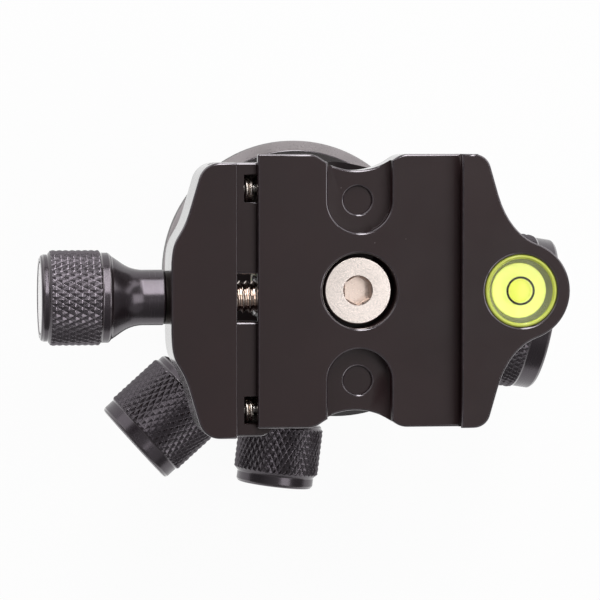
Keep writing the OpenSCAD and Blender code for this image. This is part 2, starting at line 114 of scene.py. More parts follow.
class FinishSettings(bpy.types.PropertyGroup):
    clamp: paint("Clamp", "Black anodising on the clamp", "#231214")
    housing: paint("Housing", "Black anodising on the housing and base", "#211a1b")
    knob: paint("Knobs", "Black anodising on the knobs", "#1a1517")
    # Painted shade: the clamp knob's knurled band takes a darker colour than the rest of the
    # knob, which stands in for the shade in its grooves.
    grip: paint("Grip", "Black anodising on the clamp knob's knurling, darkened as painted shade of its grooves", "#120f10")
    edge: paint("Edges", "Polished anodising on rounded edges", "#241d1f")
    ball: paint("Ball", "Hard anodising on the ball", "#3a3535")
    steel: paint("Steel", "Turned steel", "#cfc9c5")
    nickel: paint("Nickel", "Nickel plating on the centre bolt", "#f6eae3")
    liquid: paint("Level liquid", "Liquid in the bubble level", "#f8fb98")
    lime: paint("Level rim", "Lime plastic of the bubble level", "#c3cc56")
    # Painted shade: the slanted wall takes a darker grey-olive than the lime vial it belongs to,
    # which stands in for the shade that falls on it.
    smoke: paint("Level wall", "Slanted wall inside the bubble level", "#74776a")
    plastic: paint("Bearing plastic", "Natural acetal of the liner and seat", "#d9d2c0")


GROUPS = {"edges": EdgeSettings, "knurl": KnurlSettings, "threads": ThreadSettings,
          "scale": ScaleSettings, "finish": FinishSettings}


def settings(name):
    """One of the scene's groups of sizes."""
    return getattr(bpy.context.scene, "ball_head_" + name)


# ---- sizes that follow the CAD model, in mm ----

HOUSING_R = 24.4       # the drum that carries the degree scale
SCALE_Z = 7.3          # foot of the scale's lines
NUMBER_Z = 9.7         # foot of its numbers
BOSS_HALF = 24         # degrees that the pan lock's boss covers on each side
INDEX_AT = 300         # azimuth of the index line, in degrees
INDEX_FOOT = (28.05, 4.167)        # radius and height at which it starts
RIM_R, RIM_RISE, RIM_RUN = 28, 2.0, 1.8    # the base's sloping rim
BALL_R, BALL_Z = 18, 62
NECK_R, NECK_TOP_R = 7, 11
FLARE_R, FLARE_Z = 4, 24.9         # curve between neck and top, from the ball's centre
SEAT_SPRING_Z = 32.5
CLAMP_TOP = 103.9
FIXED_JAW_X = 19.0     # where the fixed jaw starts
JAW_Y = -1.6           # middle of the moving jaw
JAW_SPRING = (-22.1, 21.2, 94.4)    # start of a spring; the other one is at -21.2
BOLT_TOP, SOCKET_FLOOR, SOCKET_FLATS = 97.3, 94.3, 5
SCREW_R, SCREW_Y, SCREW_Z = 3.175, -1.2, 95
LEVEL_X = 30.6
LEVEL_WALL = 5.3       # foot of the slanted wall inside the level

# ---- steps and limits of the shapes ----

TINY = 1e-6            # mm between two heights that count as one
MERGE = 1e-6           # metres between two points that are merged
POLE = 0.02            # radius in mm of the flat cap on the axis
CORNER_STEPS = 3       # pieces of a rounded corner
STRAIGHT = -0.978      # cosine between two sides that bend by less than 12 degrees
CORNER_ANGLE = math.radians(32)    # a CAD edge that bends more is a corner
FLAT_ANGLE = math.radians(0.3)     # faces that bend less are one flat
WIRE_SIDES, WIRE_STEPS = 10, 32    # round a wire, and along one turn of it


# ---- shapes ----


def linked(name, data):
    """A new object of that data, in the scene."""
    thing = bpy.data.objects.new(name, data)
    bpy.context.scene.collection.objects.link(thing)
    return thing


def moved(co, place):
    """Points turned and moved by a 4 x 4 matrix: R co + t."""
    turn = np.array(place)
    return co @ turn[:3, :3].T + turn[:3, 3]


def eased(points, radius):
    """Outline with each corner rounded: from d before to d after the corner the point runs
    along a parabola, p = (1-t)^2 a + 2t(1-t) corner + t^2 b, with d at most a third of the
    side. One more point on each side holds the shading of the flats. A bend of less than 12
    degrees stays as it is. Returns the points and, for each, whether a rounded piece starts."""
    p = np.asarray(points, float)
    out, edge = [p[:1]], [np.zeros(1, bool)]
    t = np.linspace(0, 1, CORNER_STEPS + 1)[:, None]
    for before, corner, after in zip(p[:-2], p[1:-1], p[2:]):
        a, b = before - corner, after - corner
        la, lb = np.linalg.norm(a), np.linalg.norm(b)
        a, b = a / la, b / lb
        if a @ b < STRAIGHT:
            out.append(corner[None])
            edge.append(np.zeros(1, bool))
            continue
        d = min(radius, la / 3, lb / 3)
        hold = [corner + side * min(1.5 * d, 0.45 * size) for side, size in ((a, la), (b, lb))]
        start, end = corner + a * d, corner + b * d
        curve = (1 - t) ** 2 * start + 2 * t * (1 - t) * corner + t ** 2 * end
        out += [hold[0][None], curve, hold[1][None]]
        edge.append(np.array([False] + [True] * CORNER_STEPS + [False, False]))
    out.append(p[-1:])
    edge.append(np.zeros(1, bool))
    return np.concatenate(out), np.concatenate(edge)


def grid_faces(rows, columns, close_rows):
    """Quads of a grid that is closed round its columns, and the grid place of each corner."""
    i, j = np.meshgrid(np.arange(rows if close_rows else rows - 1), np.arange(columns),
                       indexing="ij")
    i, j = i.ravel(), j.ravel()
    place = np.stack([np.stack([i, i + 1, i + 1, i], 1), np.stack([j, j, j + 1, j + 1], 1)], 2)
    index = (place[..., 0] % rows) * columns + place[..., 1] % columns
    return index, place


def build(name, co, quads, uv, caps, marks=None, sharp=math.pi):
    """Mesh from arrays: quads, end caps as single faces, a UV for each quad corner, and marks,
    the material number of each quad. Turned the right way out by its signed volume, the sum of
    a . (b x c) + a . (c x d), and creased where two faces meet at more than the sharp angle."""
    a, b, c, d = (co[quads[:, k]] for k in range(4))
    volume = np.einsum("ij,ij->", a, np.cross(b, c)) + np.einsum("ij,ij->", a, np.cross(c, d))
    if volume < 0:
        quads, uv = quads[:, ::-1], uv[:, ::-1]
        caps = [cap[::-1] for cap in caps]
    loops = np.concatenate([quads.ravel(), *caps]).astype(np.int32)
    sizes = np.array([4] * len(quads) + [len(cap) for cap in caps])
    mesh = bpy.data.meshes.new(name)
    mesh.vertices.add(len(co))
    mesh.vertices.foreach_set("co", co.astype(np.float32).ravel())
    mesh.loops.add(len(loops))
    mesh.loops.foreach_set("vertex_index", loops)
    mesh.polygons.add(len(sizes))
    mesh.polygons.foreach_set("loop_start", (np.cumsum(sizes) - sizes).astype(np.int32))
    mesh.polygons.foreach_set("use_smooth", np.ones(len(sizes), bool))
    flat = np.zeros((len(loops), 2), np.float32)
    flat[:quads.size] = uv.reshape(-1, 2)
    mesh.uv_layers.new(name="turn").data.foreach_set("uv", flat.ravel())
    if marks is not None:
        index = np.zeros(len(sizes), np.int32)
        index[:len(quads)] = marks
        mesh.polygons.foreach_set("material_index", index)
    mesh.update(calc_edges=True)
    mesh.validate()
    if sharp < math.pi:
        mesh.set_sharp_from_angle(angle=sharp)
    return linked(name, mesh)


def turned(name, outline, columns, edge, place=None, cut=None, ring=False, sharp=math.pi):
    """Outline of (radius, height) in mm turned about Z: x = r cos t, y = r sin t, z = h.
    cut(r, h, t) may change the radius, as knurling, threads and a hex socket do. A ring's
    outline closes on itself; any other outline starts and ends on the axis, where a small flat
    cap closes it. Rounded corners take material 1, and what is inside a socket or knurling
    takes material 2."""
    points = np.asarray(outline, float)
    if ring:
        middle = (points[0] + points[-1]) / 2
        points = np.concatenate([[middle], points, [middle]])
    path, on_edge = eased(points, edge)
    if ring:
        path, on_edge = path[:-1], on_edge[:-1]
    else:
        path[[0, -1], 0] = POLE
    if cut:
        path, on_edge = refined(path, on_edge, cut)
    t = 2 * np.pi * np.arange(columns) / columns
    r, h = path[:, :1] + 0 * t, path[:, 1:] + 0 * t
    if cut:
        r = cut(r, h, t[None, :] + 0 * r)
    co = np.stack([r * np.cos(t), r * np.sin(t), h], 2).reshape(-1, 3) * MM
    quads, at = grid_faces(len(path), columns, ring)
    run = np.concatenate([[0], np.cumsum(np.linalg.norm(np.diff(path, axis=0), axis=1))])
    run = np.append(run, run[-1] + np.linalg.norm(path[0] - path[-1]))
    uv = np.stack([at[..., 1] / columns, run[at[..., 0]] / 10], 2)
    caps = [] if ring else [np.arange(columns),
                            np.arange(columns)[::-1] + (len(path) - 1) * columns]
    if place is not None:
        co = moved(co, place)
    marks = on_edge[at[:, 0, 0]].astype(int)
    if hasattr(cut, "inside"):
        marks[cut.inside(*path[at[:, 0, 0]].T)] = 2
    return build(name, co, quads, uv, caps, marks, sharp)


def refined(path, on_edge, cut):
    """The path with extra points wherever the cut works, a step apart along the axis."""
    keep, marks = [], []
    for a, b, mark in zip(path[:-1], path[1:], on_edge[:-1]):
        low, high = sorted((a[1], b[1]))
        inside = (cut.low - TINY <= low and high <= cut.high + TINY
                  and max(a[0], b[0]) >= cut.near)
        count = max(1, math.ceil((high - low) / cut.step)) if inside else 1
        t = np.linspace(0, 1, count + 1)[:-1, None]
        keep.append(a + (b - a) * t)
        marks += [mark and not inside] * count
    return np.concatenate(keep + [path[-1:]]), np.array(marks + [on_edge[-1]])


class Knurl:
    """Diamond knurling: two families of V grooves, u = n t / 2 pi + h / period and
    v = n t / 2 pi - h / period, each deepest where its value is a whole number. The second
    wheel bites less deep. The radius is the smaller of the turned one and that of the deeper
    groove."""

    crease = math.radians(24)
    land = 0.12          # share of the pitch that stays flat on a diamond
    second_wheel = 0.9   # its share of the depth

    def __init__(self, radius, low, high):
        k = settings("knurl")
        self.radius, self.low, self.high, self.near = radius, low, high, radius - 1.2
        self.teeth = round(2 * math.pi * radius / (k.pitch / MM))
        self.period, self.depth = k.period / MM, k.depth / MM
        self.step = self.period / (2 * k.samples)
        self.columns = self.teeth * k.samples

    def __call__(self, r, h, t):
        turn = self.teeth * t / (2 * np.pi)
        u, v = turn + h / self.period, turn - h / self.period
        first, second = (np.clip((np.abs(2 * (w % 1) - 1) - self.land) / (1 - self.land), 0, 1)
                         for w in (u, v))
        floor = self.radius - self.depth * np.maximum(first, self.second_wheel * second)
        work = (h > self.low - TINY) & (h < self.high + TINY) & (r > self.near)
        return np.where(work, np.minimum(r, floor), r)

    def inside(self, r, h):
        """Whether a point of the outline lies on the knurled band."""
        return (r > self.radius - 0.1) & (h > self.low - 0.01) & (h < self.high - 0.01)


class Thread:
    """A V thread: the radius falls and rises once in each pitch, as the triangle wave of
    h / pitch - t / 2 pi, with a tenth of the wave flat at its crest and root. A positive depth
    cuts inwards, a negative one outwards, and both ends run out over 0.6 of a pitch."""

    near = 0

    def __init__(self, radius, low, high, pitch, depth):
        self.radius, self.low, self.high = radius, low, high
        self.pitch, self.depth, self.step = pitch, depth, pitch / 10

    def __call__(self, r, h, t):
        wave = np.abs(2 * ((h / self.pitch - t / (2 * np.pi)) % 1) - 1)
        wave = np.clip((wave - 0.1) / 0.8, 0, 1)
        runout = np.clip(np.minimum(h - self.low, self.high - h) / (0.6 * self.pitch), 0, 1)
        work = (np.abs(r - self.radius) < 0.02) & (runout > 0)
        return np.where(work, r - self.depth * wave * runout, r)


class Hexagon:
    """A hex socket in a turned head: the radius of the socket's wall becomes that of a hexagon
    with its corners at 30 degrees, R cos 30 / cos(t mod 60 - 30), and its mouth is opened by a
    cone of 45 degrees that starts at half the width across flats."""

    near, step = 0, 0.1

    def __init__(self, flats, floor, top, mouth):
        self.flat, self.low, self.high, self.mouth = flats / 2, floor, top, mouth
        self.corner = self.flat / math.cos(math.pi / 6)

    def __call__(self, r, h, t):
        turn = (t - math.pi / 6) % (math.pi / 3) - math.pi / 6
        hexagon = self.flat / np.cos(turn)
        cone = self.flat + h - (self.high - self.mouth)
        wall = np.maximum(r / self.corner * hexagon, np.where(r > 0.9 * self.corner, cone, 0))
        return np.where(self.inside(r, h), wall, r)

    def inside(self, r, h):
        """Whether a point of the outline belongs to the socket."""
        return (r < self.corner + 0.1) & (h > self.low - 0.01) & (h < self.high - 1e-4)


def wire(name, wire_r, coil_r, span, turns, closed, place):
    """Round wire along a helix with closed turns at both ends: the centre line is
    (R cos a, R sin a, z(a)), where z rises by 1.05 wires in each closed turn and evenly between
    them, and the ends are closed."""
    n = int(turns * WIRE_STEPS)
    a = np.linspace(0, 2 * np.pi * turns, n + 1)
    rise = wire_r * (1 + 2.1 * closed)
    z = np.interp(a / (2 * np.pi), [0, closed, turns - closed, turns],
                  [wire_r, rise, span - rise, span - wire_r])
    centre = np.stack([coil_r * np.cos(a), coil_r * np.sin(a), z], 1)
    along = np.gradient(centre, axis=0)
    along /= np.linalg.norm(along, axis=1)[:, None]
    out = np.stack([np.cos(a), np.sin(a), 0 * a], 1)
    up = np.cross(along, out)
    s = 2 * np.pi * np.arange(WIRE_SIDES) / WIRE_SIDES
    co = (centre[:, None] + wire_r * (np.cos(s)[None, :, None] * out[:, None]
                                      + np.sin(s)[None, :, None] * up[:, None]))
    quads, at = grid_faces(n + 1, WIRE_SIDES, False)
    uv = np.stack([at[..., 1] / WIRE_SIDES, at[..., 0] * 0.02], 2)
    caps = [np.arange(WIRE_SIDES), np.arange(WIRE_SIDES)[::-1] + n * WIRE_SIDES]
    return build(name, moved(co.reshape(-1, 3) * MM, place), quads, uv, caps)


def outward(azimuth, height):
    """Place of a piece that points away from the pan axis at that azimuth and height in mm."""
    return (Matrix.Rotation(math.radians(azimuth), 4, "Z")
            @ Matrix.Translation((0, 0, height * MM)) @ Matrix.Rotation(math.pi / 2, 4, "Y"))


def along_x(y, z, x=0, back=False):
    """Place of a piece that points along +X, or along -X, through y and z in mm."""
    return (Matrix.Translation((x * MM, y * MM, z * MM))
            @ Matrix.Rotation(-math.pi / 2 if back else math.pi / 2, 4, "Y"))


def machined(node, edge, full=False, split=None, width_of=None, finish_of=None):
    """A copy of a CAD node with its doubles merged, flat faces joined and outer corners
    rounded, if full is set in full width also where two of them come close together. Flat
    faces stay apart at the plane x = split mm. width_of(middle), with the corner's middle in
    mm, gives the share of the full width that a corner gets; 0 leaves it sharp.
    finish_of(centre, normal) gives a face's material number, with the centre in mm; the rounded
    corners take number 1."""
    mesh = NODES[node].data.copy()
    mesh.name = node + "_finished"
    mesh.materials.clear()
    work = bmesh.new()
    work.from_mesh(mesh)
    bmesh.ops.remove_doubles(work, verts=work.verts, dist=MERGE)
    if split is not None:
        bmesh.ops.bisect_plane(work, geom=[*work.verts, *work.edges, *work.faces], dist=1e-7,
                               plane_co=(split * MM, 0, 0), plane_no=(1, 0, 0))
        for face in work.faces:
            face.material_index = int(face.calc_center_median().x > split * MM)
    bmesh.ops.dissolve_limit(work, angle_limit=FLAT_ANGLE, verts=work.verts,
                             edges=work.edges, delimit={"MATERIAL"})
    for face in work.faces:
        face.smooth = True
        face.material_index = (finish_of(face.calc_center_median() / MM, face.normal)
                               if finish_of else 0)
    weight = work.edges.layers.float.new("bevel_weight_edge")
    for one in work.edges:
        if (len(one.link_faces) == 2 and one.is_convex
                and one.calc_face_angle() > CORNER_ANGLE):
            middle = (one.verts[0].co + one.verts[1].co) / (2 * MM)
            one[weight] = width_of(middle) if width_of else 1.0
    work.to_mesh(mesh)
    work.free()
    mesh.set_sharp_from_angle(angle=CORNER_ANGLE)
    thing = linked(mesh.name, mesh)
    bevel = thing.modifiers.new("rounded corners", "BEVEL")
    bevel.width, bevel.segments = edge, CORNER_STEPS
    bevel.limit_method, bevel.miter_outer, bevel.material = "WEIGHT", "MITER_ARC", 1
    bevel.use_clamp_overlap, bevel.loop_slide = not full, False
    thing.modifiers.new("no empty faces", "WELD").merge_threshold = MERGE
    flat = thing.modifiers.new("even faces", "WEIGHTED_NORMAL")
    flat.mode, flat.weight, flat.keep_sharp = "FACE_AREA", 100, True
    return thing


def attach(thing, body, slot, *finishes):
    """Gives a piece its materials and body. The slot is not used."""
    for name in finishes:
        thing.data.materials.append(coating(name))
    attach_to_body(thing, body)


def finish(thing, node, *finishes):
    """Gives a piece its materials and body, and lets it stand for its CAD node."""
    attach(thing, BODY_OF[node], SLOT_OF[node], *finishes)
    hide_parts(node)


def coat(name, *kept):
    """CAD nodes whose shape is right keep it and take a finish."""
    for one in kept:
        for slot in NODES[one].material_slots:
            slot.material = coating(name)


# ---- materials ----

DYE_CAST = "#fff2ff"    # black dye lends the reflections of polished anodising a faint violet
DUST = "#6b6163"


def linear(value):
    """Linear colour of an sRGB hex value: c / 12.92 below 0.04045, else ((c+0.055)/1.055)^2.4."""
    c = np.array([int(value[i:i + 2], 16) for i in (1, 3, 5)]) / 255
    c = np.where(c <= 0.04045, c / 12.92, ((c + 0.055) / 1.055) ** 2.4)
    return (*c.tolist(), 1.0)


def node(tree, kind, feeds=(), stops=(), **values):
    """Adds a node. A value goes to the setting of that name, or else to the input; feeds are
    (input, output socket) pairs. Names use _ for a space, and input numbers are written in0.
    The stops of a colour ramp are (place, hex colour)."""
    made = tree.nodes.new(kind)
    for key, value in values.items():
        if key.startswith("in") and key[2:].isdigit():
            made.inputs[int(key[2:])].default_value = value
        elif hasattr(made, key):
            setattr(made, key, value)
        else:
            made.inputs[key.replace("_", " ")].default_value = value
    for target, socket in feeds:
        tree.links.new(socket, made.inputs[target])
    for number, (place, value) in enumerate(stops):
        element = made.color_ramp.elements[number]
        element.position, element.color = place, linear(value)
    return made


def material(name, base, **shader):
    """A material with one Principled shader. Returns it with its tree, its shader node and a
    source of Object coordinates."""
    made = bpy.data.materials.new(name)
    made.use_nodes = True
    made.diffuse_color = linear(base)
    tree = made.node_tree
    body = next(n for n in tree.nodes if n.type == "BSDF_PRINCIPLED")
    body.inputs["Base Color"].default_value = linear(base)
    for key, value in shader.items():
        body.inputs[key.replace("_", " ")].default_value = value
    return made, tree, body, node(tree, "ShaderNodeTexCoord").outputs["Object"]


def textured(tree, body, colour, rough=None, relief=None):
    """Links a surface's patterns to its shader: its colour; its roughness, which follows a
    noise from one value to another; and its relief, a noise with a strength and a height in
    metres."""
    tree.links.new(colour, body.inputs["Base Color"])
    if rough:
        noise, low, high = rough
        level = node(tree, "ShaderNodeMapRange", [("Value", noise)], in1=0.3, in2=0.7, in3=low,
                     in4=high)
        tree.links.new(level.outputs[0], body.inputs["Roughness"])
    if relief:
        noise, strength, height = relief
        bump = node(tree, "ShaderNodeBump", [("Height", noise)], Strength=strength,
                    Distance=height)
        tree.links.new(bump.outputs[0], body.inputs["Normal"])


def shade(value, factor):
    """The hex colour with each channel multiplied."""
    return "#" + "".join(f"{min(255, round(int(value[i:i + 2], 16) * factor)):02x}"
                         for i in (1, 3, 5))


def dusted(tree, where, base):
    """A colour with a slow drift of the dye and, in one of ten cells of 3 mm, a fine speck of
    dust."""
    cloud = node(tree, "ShaderNodeTexNoise", [("Vector", where)], Scale=70, Detail=3)
    tone = node(tree, "ShaderNodeValToRGB", [("Fac", cloud.outputs["Fac"])],
                [(0.3, shade(base, 0.93)), (0.7, shade(base, 1.07))])
    cells = node(tree, "ShaderNodeTexVoronoi", [("Vector", where)], Scale=330)
    dot = node(tree, "ShaderNodeMath", [(0, cells.outputs["Distance"])], operation="LESS_THAN",
               in1=0.03)
    pick = node(tree, "ShaderNodeSeparateColor", [("Color", cells.outputs["Color"])])
    rare = node(tree, "ShaderNodeMath", [(0, pick.outputs["Red"])], operation="GREATER_THAN",
                in1=0.9)
    specks = node(tree, "ShaderNodeMath", [(0, dot.outputs[0]), (1, rare.outputs[0])],
                  operation="MULTIPLY")
    mix = node(tree, "ShaderNodeMix", data_type="RGBA", in7=linear(DUST))
    tree.links.new(specks.outputs[0], mix.inputs["Factor"])
    tree.links.new(tone.outputs["Color"], mix.inputs[6])
    return mix.outputs[2]


def blasted_anodising(name, base, roughness, gloss, seal=0.0):
    """Aluminium, bead blasted and dyed black: an even satin grain of about 0.15 mm, drawn at
    0.2 mm, which scatters light softly, with a warm cast in the dye. A sealed face also has a
    thin clear layer, which turns bright when it is seen along the surface."""
    made, tree, body, where = material(name, base, Roughness=roughness,
                                       Specular_IOR_Level=gloss, Coat_Weight=seal,
                                       Coat_IOR=1.3, Coat_Roughness=0.12)
    grain = node(tree, "ShaderNodeTexNoise", [("Vector", where)], Scale=5000, Detail=2)
    slow = node(tree, "ShaderNodeTexNoise", [("Vector", where)], Scale=120, Detail=2)
    textured(tree, body, dusted(tree, where, base),
             (slow.outputs["Fac"], roughness - 0.04, roughness + 0.05),
             (grain.outputs["Fac"], 0.12, 0.00004))
    return made


def turned_anodising(name, base, roughness, ior=1.5):
    """Aluminium turned on a lathe and dyed black: fine feed lines about 0.07 mm apart, drawn at
    0.15 mm, that run round the piece and draw the highlight out into a band."""
    made, tree, body, where = material(name, base, Roughness=roughness, Specular_IOR_Level=1.0,
                                       IOR=ior, Specular_Tint=linear(DYE_CAST))
    turn = node(tree, "ShaderNodeUVMap", uv_map="turn").outputs["UV"]
    flat = node(tree, "ShaderNodeMapping", [("Vector", turn)], Scale=(0.6, 66.0, 1.0))
    feed = node(tree, "ShaderNodeTexNoise", [("Vector", flat.outputs[0])], Scale=1.0, Detail=3,
                Roughness=0.7).outputs["Fac"]
    textured(tree, body, dusted(tree, where, base), (feed, roughness - 0.04, roughness + 0.06),
             (feed, 0.15, 0.00003))
    return made


def polished_edge(name, base, roughness):
    """Rounded edge of black anodised aluminium: the deburring wheel has polished it under the
    dye, so it stays dark except where it mirrors a lamp, and there it draws a bright line."""
    made, tree, body, where = material(name, base, Roughness=roughness, Specular_IOR_Level=1.0,
                                       Specular_Tint=linear(DYE_CAST), Coat_Weight=1.0,
                                       Coat_IOR=1.5, Coat_Roughness=0.12)
    wear = node(tree, "ShaderNodeTexNoise", [("Vector", where)], Scale=900,
                Detail=3).outputs["Fac"]
    tone = node(tree, "ShaderNodeValToRGB", [("Fac", wear)],
                [(0.4, base), (0.75, shade(base, 1.5))])
    textured(tree, body, tone.outputs["Color"], (wear, roughness - 0.04, roughness + 0.05))
    return made


def turned_metal(name, base, roughness, scale=1.0):
    """Bare or plated metal with fine turning marks: a clear reflection, softened by marks of
    about 0.05 mm, drawn at 0.05 to 0.4 mm."""
    made, tree, body, where = material(name, base, Metallic=1.0, Roughness=roughness)
    marks = node(tree, "ShaderNodeTexNoise", [("Vector", where)], Scale=2600 * scale,
                 Detail=3).outputs["Fac"]
    slow = node(tree, "ShaderNodeTexNoise", [("Vector", where)], Scale=160, Detail=2)
    tone = node(tree, "ShaderNodeValToRGB", [("Fac", slow.outputs["Fac"])],
                [(0.3, shade(base, 0.94)), (0.7, base)])
    textured(tree, body, tone.outputs["Color"], (marks, roughness * 0.8, roughness * 1.3),
             (marks, 0.1, 0.00002))
    return made


def moulded_plastic(name, base, roughness, **shader):
    """Natural or dyed plastic, moulded or cut: a soft, slightly waxy surface with a very low
    ripple of about 1 mm."""
    made, tree, body, where = material(name, base, Roughness=roughness, IOR=1.48, **shader)
    ripple = node(tree, "ShaderNodeTexNoise", [("Vector", where)], Scale=900,
                  Detail=2).outputs["Fac"]
    tone = node(tree, "ShaderNodeValToRGB", [("Fac", ripple)],
                [(0.3, shade(base, 0.96)), (0.7, base)])
    textured(tree, body, tone.outputs["Color"], relief=(ripple, 0.08, 0.00008))
    return made


def glowing_plastic(name, base, roughness, glow):
    """Plastic or liquid with a painted glow: an emission of its own colour makes it a little
    brighter than its colour, though it is no lamp.
    """
    return moulded_plastic(name, base, roughness, Emission_Color=linear(base),
                           Emission_Strength=glow)


def clear_acrylic(name, base, roughness):
    """Cast acrylic, polished: clear with a lime cast, it bends what lies under it and carries
    a sharp reflection on top."""
    made, tree, body, where = material(name, base, Roughness=roughness, IOR=1.25,
                                       Transmission_Weight=1.0)
    haze = node(tree, "ShaderNodeTexNoise", [("Vector", where)], Scale=500, Detail=2)
    level = node(tree, "ShaderNodeMapRange", [("Value", haze.outputs["Fac"])], in1=0.4, in2=0.8,
                 in3=roughness, in4=roughness + 0.05)
    tree.links.new(level.outputs[0], body.inputs["Roughness"])
    return made


# Each finish: its material's function and name, its colour or the setting that holds it, and
# the function's other values.
FINISHES = {
    "clamp": (blasted_anodising, "blasted black anodising", "clamp", 0.42, 0.3),
    "clamp_edge": (polished_edge, "polished clamp edge", "edge", 0.18),
    "clamp_side": (blasted_anodising, "milled black anodising", "clamp", 0.24, 0.3, 1.0),
    "base_rim": (turned_metal, "bright cut rim", "#a59ea0", 0.32),
    "housing": (blasted_anodising, "satin black anodising", "housing", 0.34, 0.5),
    "knob": (turned_anodising, "turned knob anodising", "knob", 0.22),
    # Painted shade: the knurled band's darker colour stands in for the shade in its grooves.
    "grip": (turned_anodising, "knurled knob anodising", "grip", 0.24, 1.7),
    "edge": (polished_edge, "polished knob edge", "edge", 0.22),
    "ball": (turned_anodising, "ground hard anodising", "ball", 0.2),
    "steel": (turned_metal, "turned steel", "steel", 0.26),
    "dark_steel": (turned_metal, "black oxide steel", "#35312f", 0.38),
    "rolled": (turned_metal, "rolled plated thread", "#e6d6cc", 0.14, 0.2),
    "nickel": (turned_metal, "nickel plating", "nickel", 0.2),
    # Painted shade: the inside of the bolt's hex socket takes a darker nickel than the head,
    # which stands in for the shade in the socket.
    "socket": (turned_metal, "nickel plating in the socket", "#e0cdc2", 0.3),
    "polished": (turned_metal, "polished aluminium", "#e4e1e2", 0.12),
    "wire": (turned_metal, "drawn spring wire", "#fff4ea", 0.26),
    "brass": (turned_metal, "turned brass", "#c49b4a", 0.25),
    "plastic": (moulded_plastic, "natural acetal", "plastic", 0.4),
    "acrylic": (clear_acrylic, "clear acrylic", "#f6f9e2", 0.04),
    # Painted glow: the level's liquid, bubble and lime rim emit light of their own colour, though
    # they are no lamps.
    "liquid": (glowing_plastic, "fluorescent level liquid", "liquid", 0.2, 0.2),
    "bubble": (glowing_plastic, "level bubble", "#f0f26a", 0.15, 0.2),
    "lime": (glowing_plastic, "fluorescent lime styrene", "lime", 0.2, 0.05),
    # Painted shade: the level's wall is darker than the vial it belongs to.
    "smoke": (moulded_plastic, "frosted styrene", "smoke", 0.35),
    "black_print": (moulded_plastic, "black printed ring", "#0c0a02", 0.6),
    "white_print": (moulded_plastic, "white filled engraving", "#d4d0cc", 0.5),
}
# Values that only two of the plastics have: light goes a little way into acetal, and printing
# ink hardly mirrors.
PLASTIC_VALUES = {"plastic": dict(Subsurface_Weight=0.15, Subsurface_Scale=0.001),
                  "black_print": dict(Specular_IOR_Level=0.1)}


def coating(name):
    """The material of that finish, which is made once."""
    make, label, colour, *values = FINISHES[name]
    made = bpy.data.materials.get(label)
    if colour[0] != "#":
        colour = getattr(settings("finish"), colour)
    return made or make(label, colour, *values, **PLASTIC_VALUES.get(name, {}))


# ---- turned knobs ----


def knob_outline(x, neck, ring_in, grip, ring_out, bore, cap_r, cap_d, head_r=0, head_d=0):
    """Outline of a side knob as (radius, distance) in mm: neck, cone, ring, knurled grip
    between two chamfers, step, end ring, and the recess for the cap."""
    c = 0.5
    points = [(bore, x[0]), (neck - c, x[0]), (neck, x[0] + c), (neck, x[1]),
              (ring_in - c, x[2]), (ring_in, x[2] + c), (ring_in, x[3]),
              (grip, x[3] + (grip - ring_in)), (grip, x[4] - (grip - ring_out)),
              (ring_out, x[4]), (ring_out, x[5] - c), (ring_out - c, x[5]),
              (cap_r, x[5]), (cap_r, x[5] - cap_d)]
    if head_r:
        points += [(head_r, x[5] - cap_d), (head_r, x[5] - cap_d - head_d)]
        return points + [(bore, x[5] - cap_d - head_d)]
    return points + [(bore, x[5] - cap_d)]


def cap_outline(x_end, cap_r, cap_d):
    """Outline of a knob's end cap with turned rings in its face."""
    rings = [(r + dr, x_end - 0.1 - drop)
             for r in np.arange(cap_r * 0.82, cap_r * 0.3, -cap_r * 0.17)
             for dr, drop in ((0.18, 0), (0.1, 0.1), (-0.1, 0.1), (-0.18, 0))]
    return ([(0, x_end - cap_d), (cap_r, x_end - cap_d), (cap_r, x_end - 0.4),
             (cap_r - 0.4, x_end - 0.1)] + rings + [(0, x_end - 0.1)])


SIDE_KNOBS = {
    "main": dict(place=(-9.2, 41), x=(30.3, 31.3, 33.5, 34.3, 43.5, 47.5), neck=8.5,
                 ring_in=15.4, grip=16, ring_out=15.6, bore=4, cap_r=11.5, cap_d=1.5,
                 head_r=5.5, head_d=4),
    "friction": dict(place=(222, 37.5), x=(30, 32.4, 33.8, 35.6, 48, 51), neck=6,
                     ring_in=9.45, grip=9.95, ring_out=9.6, bore=3, cap_r=7.75, cap_d=1.5),
    "pan": dict(place=(263, 13), x=(29.6, 31.2, 31.8, 32.6, 43.2, 45.6), neck=5.2,
                ring_in=8.65, grip=9.05, ring_out=8.2, bore=2.5, cap_r=6.45, cap_d=1.5),
}


def knurled(name, outline, knurl, place):
    """A turned ring that carries a knurling."""
    return turned(name, outline, knurl.columns, settings("edges").turned_edge / MM, place, knurl,
                  ring=True, sharp=knurl.crease)


def side_knob(name):
    """The knob and cap of one side knob, knurled between its two chamfers."""
    size = dict(SIDE_KNOBS[name])
    place = outward(*size.pop("place"))
    x = size["x"]
    body = knurled(name + "_knob_turned", knob_outline(**size),
                   Knurl(size["grip"], x[3], x[4]), place)
    finish(body, name + "_knob", "knob", "edge", "knob")
    cap = turned(name + "_knob_cap_turned",
                 cap_outline(x[5], size["cap_r"] - 0.03, size["cap_d"]), 96, 0.1, place)
    finish(cap, name + "_knob_cap", "knob", "edge")


# ---- pieces ----


